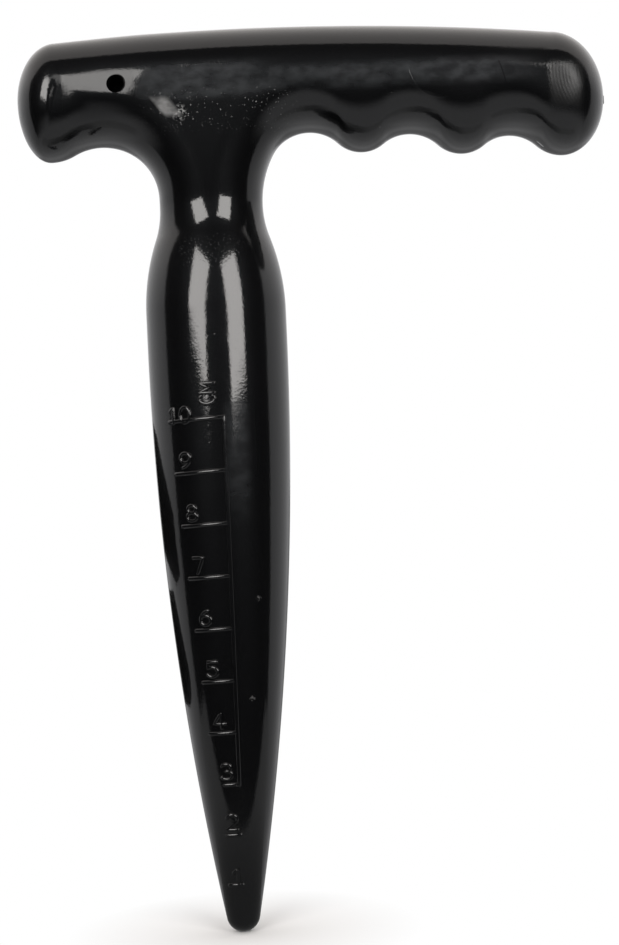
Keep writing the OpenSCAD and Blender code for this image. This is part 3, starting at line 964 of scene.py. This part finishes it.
def plastic(name):
    """Glossy black moulded plastic with waves, haze, specks, scratches, a finger mark and worn gloss, and a
    painted highlight at the neck.
    """
    material, net = new_material(name)
    place = net.place()
    x, y, z = net.split(place)
    front = net.ramp(y, *FRONT)

    def patch(along, up, level, across=x):
        """Patch of the front."""
        return net.product(net.zone(across, *along), net.zone(z, *up), front, level)

    def spots(scale, detail, low, high, start=0.0, end=1.0, at=place):
        """Random spots between two levels."""
        return net.ramp(net.noise(at, scale, detail), low, high, start, end)

    def near(spot, reach):
        """Round patch about a place of the front."""
        return net.fade(net.away(x, z, *spot), *reach)

    def scratch(cx, cz, r):
        """Fine line along a circle."""
        off = net.math("SUBTRACT", net.away(x, z, cx, cz), r)
        return net.fade(net.math("ABSOLUTE", off), *SCRATCH_FADE)

    # Cloudy haze on the grip and the spike, and a painted highlight at the neck: a pale streak of colour
    # where the left lamp's reflection falls
    cloud = spots(*CLOUD, *CLOUD_LEVELS, net.scaled(place, *CLOUD_STRETCH))
    haze = net.product(net.most(patch(*GRIP_HAZE), patch(*NECK_HAZE), patch(*SPIKE_HAZE)), cloud)
    lean = net.math("ADD", x, net.product(z, NECK_HIGHLIGHT_LEAN))
    painted_highlight = net.product(patch(*NECK_HIGHLIGHT, lean), cloud)

    # Specks: splay at the neck and on the shoulder, a cluster, dust and nicks
    splay = net.product(spots(*SPLAY_GRAIN), patch(*SPLAY))
    shoulder = net.product(spots(*SHOULDER_GRAIN), patch(*SHOULDER_SPLAY))
    cluster = net.product(spots(*CLUSTER_GRAIN), near(CLUSTER, CLUSTER_FADE), front)
    dust = net.product(net.specks(place, *DUST), front, DUST_LEVEL)
    nicks = net.most(*[near(nick, NICK_FADE) for nick in NICKS])
    nicks = net.product(spots(*NICK_GRAIN), nicks, front, NICK_LEVEL)
    specks = net.most(splay, shoulder, cluster, dust, nicks)

    # Finger mark on the finger end, a curled scratch and a hair line in the haze
    mark = patch(*FINGER_MARK)
    loops = net.math("SINE", net.product(net.away(x, z, *LOOPS), 2 * math.pi / LOOP_PITCH))
    curl = net.product(scratch(*CURL), net.zone(x, *CURL_X), net.ramp(z, *CURL_Z), front)
    hair = net.product(scratch(*HAIR), net.zone(z, *HAIR_Z), net.ramp(x, *HAIR_X), front)

    # Waves, grain and the height of the marks
    height = net.product(net.noise(place, *WAVE), WAVE_H)
    grain = net.noise(place, *GRAIN)
    lines = net.product(loops, mark)
    for part, tall in ((grain, GRAIN_H), (specks, SPECK_H), (lines, MARK_H), (curl, SCRATCH_H)):
        height = net.math("ADD", height, net.product(part, tall))
    normal = net.node("ShaderNodeBump", Distance=MM, Height=height)

    # Films make the gloss rougher, and where it is worn it is thinner
    smudge = net.most(mark, patch(*FINGER_FILM), patch(*THUMB_FILM))
    gloss = spots(*GLOSS, *COAT_ROUGH)
    worn = net.most(patch(*THUMB_WORN), patch(*THUMB_END_WORN), patch(*FINGER_WORN), patch(*SPIKE_WORN))
    worn = net.most(worn, net.product(mark, MARK_WORN))
    haze_level = net.product(haze, net.ramp(hair, 0.0, 1.0, HAZE_SPECULAR, 0.0))

    shader = net.nodes["Principled BSDF"]
    sockets = {
        # Base colour: grey specks, and the painted highlight at the neck
        "Base Color": net.blend(net.most(specks, painted_highlight), BASE, FLECK_AND_HIGHLIGHT),
        "Roughness": ROUGH,
        "IOR": IOR,
        "Normal": normal,
        "Specular IOR Level": net.math("ADD", haze_level, SPECULAR),
        "Specular Tint": HAZE_TINT,
        "Coat Weight": net.math("SUBTRACT", 1.0, worn),
        "Coat Roughness": net.math("ADD", gloss, net.product(smudge, SMUDGE_ROUGH)),
        "Coat IOR": COAT_IOR,
        "Coat Normal": normal,
    }
    for socket, value in sockets.items():
        net.feed(shader.inputs[socket], value)
    return material


def dull(name):
    """Dull black of the hole's wall."""
    material, net = new_material(name)
    shader = net.nodes["Principled BSDF"]
    shader.inputs["Base Color"].default_value = BASE
    shader.inputs["Roughness"].default_value = DULL_ROUGH
    shader.inputs["Specular IOR Level"].default_value = SPECULAR
    return material


BLACK = plastic("black_plastic")
DULL = dull("dull_plastic")
for node, name, side in (("front_shell", "front_half", -1), ("back_shell", "back_half", 1)):
    shell = half_shell(name, side)
    place, r = drill(shell, side)
    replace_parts(shade(shell, BLACK), node)
    darken_bore(shell, place, r, DULL)
shade(scale_lines(), BLACK)
shade(scale_figures(), BLACK)
shade(gate_mark(), BLACK)


# Camera: 619 x 945 frame, square to the front, rolled as the photograph is
FRAME_W = 619
FRAME_H = 945
PIXEL = 0.19652
ROLL = 2.6
TIP_PX = (244.3, 931.0)
DISTANCE = 356.0
SENSOR = 36
CLIP = (0.01, 20)


def from_pixel(px, py):
    """Point of the plane Y = 0 under a pixel of the frame."""
    dx = (px - TIP_PX[0]) * PIXEL
    dz = (TIP_PX[1] - py) * PIXEL
    return dx * cos_d(ROLL) + dz * sin_d(ROLL), dz * cos_d(ROLL) - dx * sin_d(ROLL)


def make_camera():
    """Camera of the photograph."""
    data = bpy.data.cameras.new("camera")
    data.sensor_width = SENSOR
    data.lens = SENSOR * DISTANCE / (FRAME_H * PIXEL)
    data.clip_start, data.clip_end = CLIP
    camera = bpy.data.objects.new("camera", data)
    x, z = from_pixel(FRAME_W / 2, FRAME_H / 2)
    roll = math.radians(ROLL)
    right = Vector((math.cos(roll), 0, -math.sin(roll)))
    up = Vector((math.sin(roll), 0, math.cos(roll)))
    back = Vector((0, -1, 0))
    camera.matrix_world = Matrix((right, up, back)).transposed().to_4x4()
    camera.location = Vector((x, -DISTANCE, z)) * MM
    bpy.context.scene.collection.objects.link(camera)
    bpy.context.scene.camera = camera


make_camera()

# Light: two tall soft boxes beside the camera, aimed at a place on the spike from a distance in metres
LIGHT_AT = Vector((0, 0, 120)) * MM
LIGHT_FAR = 0.75
LAMP_TINT = (1.0, 0.975, 0.95)
# Azimuth, left below 0, elevation, width, height and roll in degrees, seen from the spike, and power
SOFT_BOXES = {
    "left_box": (-24.9, 18.2, 26.2, 33.5, -17, 3.95),
    "right_box": (32, 15.6, 26.4, 32.8, 10, 4.0),
}


def soft_box(name, azimuth, elevation, width, height, roll, power):
    """Area light that faces the spike."""
    data = bpy.data.lights.new(name, "AREA")
    data.shape = "RECTANGLE"
    data.size = 2 * LIGHT_FAR * tan_d(width / 2)
    data.size_y = 2 * LIGHT_FAR * tan_d(height / 2)
    data.energy = power
    data.color = LAMP_TINT
    light = bpy.data.objects.new(name, data)
    out = Vector((sin_d(azimuth) * cos_d(elevation), -cos_d(azimuth) * cos_d(elevation), sin_d(elevation)))
    light.location = LIGHT_AT + out * LIGHT_FAR
    turned = (-out).to_track_quat("-Z", "Y").to_matrix() @ Matrix.Rotation(math.radians(roll), 3, "Z")
    light.rotation_euler = turned.to_euler()
    bpy.context.scene.collection.objects.link(light)


for name, box in SOFT_BOXES.items():
    soft_box(name, *box)

# Room: levels over, beside and under the object, and where they are reached along the direction's height
TOP_LEVEL = 1.0
SIDE_LEVEL = 0.58
UNDER_LEVEL = 0.42
ROOM_LEVEL = 0.012
TOP_FULL = 0.5
UNDER_FULL = 0.5
TOP_TINT = (1.0, 0.955, 0.925, 1)
LOW_TINT = (0.985, 0.985, 1.0, 1)
TINT_FULL = 0.8
# Edge of the white behind, which comes forward overhead
ROOM_EDGE = 0.03
ROOM_RISE = 0.45
ROOM_TILT = 0.89
# Soft light low in front: angles below the level where it starts and is full
LOW_START = 24.0
LOW_FULL = 48.0
LOW_LEVEL = 0.52
# Share of the light from the ground straight behind, its half width and its stretch below the level
GROUND_LEVEL = 0.36
GROUND_X = 0.25
GROUND_DOWN = (0.0, 0.04, 0.2, 0.55)


def make_world():
    """White to the camera; to the rest white behind and above, soft light low in front and a dark room."""
    world = bpy.data.worlds.new("studio")
    bpy.context.scene.world = world
    world.use_nodes = True
    net = Net(world.node_tree)
    net.nodes.clear()
    x, y, z = net.split(net.nodes.new("ShaderNodeTexCoord").outputs["Generated"])
    down = net.product(z, -1.0)
    up = net.most(net.math("SUBTRACT", z, ROOM_RISE), 0.0)
    behind = net.math("ADD", y, net.product(up, ROOM_TILT))
    over = net.ramp(z, 0.0, TOP_FULL, SIDE_LEVEL, TOP_LEVEL)
    under = net.ramp(down, 0.0, UNDER_FULL, 0.0, UNDER_LEVEL - SIDE_LEVEL)
    white = net.product(net.ramp(behind, -ROOM_EDGE, ROOM_EDGE), net.math("ADD", over, under))

    middle = net.fade(net.math("ABSOLUTE", x), GROUND_X, 2 * GROUND_X)
    ground = net.product(middle, net.zone(down, *GROUND_DOWN))
    white = net.product(white, net.ramp(ground, 0.0, 1.0, 1.0, GROUND_LEVEL))

    low = net.ramp(down, sin_d(LOW_START), sin_d(LOW_FULL), 0.0, LOW_LEVEL)
    level = net.math("ADD", net.most(white, low), ROOM_LEVEL)
    tint = net.blend(net.ramp(z, 0.0, TINT_FULL), LOW_TINT, TOP_TINT)
    room = net.node("ShaderNodeBackground", Color=tint, Strength=level)
    shown = net.node("ShaderNodeBackground", Color=(1, 1, 1, 1))
    net.output("ShaderNodeOutputWorld", net.to_camera(), room, shown)


make_world()

# Cards seen in the gloss alone, which paint reflections: black ones behind the left flank, with corners along
# and up, give dark patches on it, and a glowing one on the floor, no lamp, gives a pale reflection whose
# front edge shows on the point
CARD_AWAY = 32.0
CARD_TURN = 45.0
CARDS = (
    ((0.0, 101.7), (10.8, 98.1), (33.1, 79.4), (34.7, 65.4), (23.3, 64.5), (0.0, 73.5)),
    ((-1.6, 65.5), (14.1, 64.3), (27.8, 43.4), (23.5, 39.1), (15.5, 38.1), (-2.5, 41.0)),
)
SHEET = ((-150.0, -64.0), (150.0, -26.0), (150.0, 10.0), (-150.0, 10.0))
# Glow of the card on the floor, which paints the pale reflection, at two distances from the spike's axis
SHEET_NEAR = (15.0, 0.2)
SHEET_FAR = (75.0, 0.42)


def glowing(name, near, far):
    """Glowing surface, no lamp, that paints a pale reflection; its level changes with the distance from the
    spike's axis.
    """
    material, net = new_material(name)
    net.nodes.clear()
    x, y, _ = net.split(net.place())
    level = net.ramp(net.away(x, y, 0.0, 0.0), near[0], far[0], near[1], far[1])
    glow = net.node("ShaderNodeEmission", Strength=level)
    net.links.new(glow, net.nodes.new("ShaderNodeOutputMaterial").inputs["Surface"])
    return material


def add_cards(name, faces, material):
    """Flat cards that only the gloss of the object shows."""
    bm = bmesh.new()
    for corners in faces:
        bm.faces.new([bm.verts.new(p) for p in corners])
    cards = new_object(name, bm)
    cards.data.materials.append(material)
    cards.visible_camera = False
    cards.visible_diffuse = False
    cards.visible_shadow = False


def flank_card(u, z):
    """Corner of a black card."""
    x = -sin_d(CARD_TURN) * CARD_AWAY - cos_d(CARD_TURN) * u
    return x, cos_d(CARD_TURN) * CARD_AWAY - sin_d(CARD_TURN) * u, z


add_cards("black_cards", [[flank_card(*corner) for corner in corners] for corners in CARDS], DULL)
add_cards("glowing_card", [[(x, y, SEAM) for x, y in SHEET]], glowing("glowing_card", SHEET_NEAR, SHEET_FAR))

# Floor in metres: under the point, ending a little in front of the object, white to the camera past a fade
FLOOR_FRONT = 0.26
FLOOR_FAR = 2.0
FLOOR_FADE = 0.035
FLOOR_TINT = (0.8, 0.8, 0.8, 1)


def make_floor():
    """Floor that shows the object's shadow round the point."""
    far = FLOOR_FAR / MM
    front = -FLOOR_FRONT / MM
    bm = bmesh.new()
    bm.faces.new([bm.verts.new((x, y, 0)) for x, y in ((-far, front), (far, front), (far, far), (-far, far))])
    floor = new_object("floor", bm)
    material, net = new_material("floor")
    net.nodes.clear()
    length = net.nodes.new("ShaderNodeVectorMath")
    length.operation = "LENGTH"
    net.links.new(net.nodes.new("ShaderNodeNewGeometry").outputs["Position"], length.inputs[0])
    fade = net.ramp(length.outputs["Value"], FLOOR_FADE / 6, FLOOR_FADE, kind="LINEAR")
    plain = net.node("ShaderNodeBsdfDiffuse", Color=FLOOR_TINT)
    white = net.node("ShaderNodeEmission")
    net.output("ShaderNodeOutputMaterial", net.product(fade, net.to_camera()), plain, white)
    floor.data.materials.append(material)
    floor.visible_glossy = False


make_floor()
bpy.context.scene.view_settings.view_transform = "Standard"
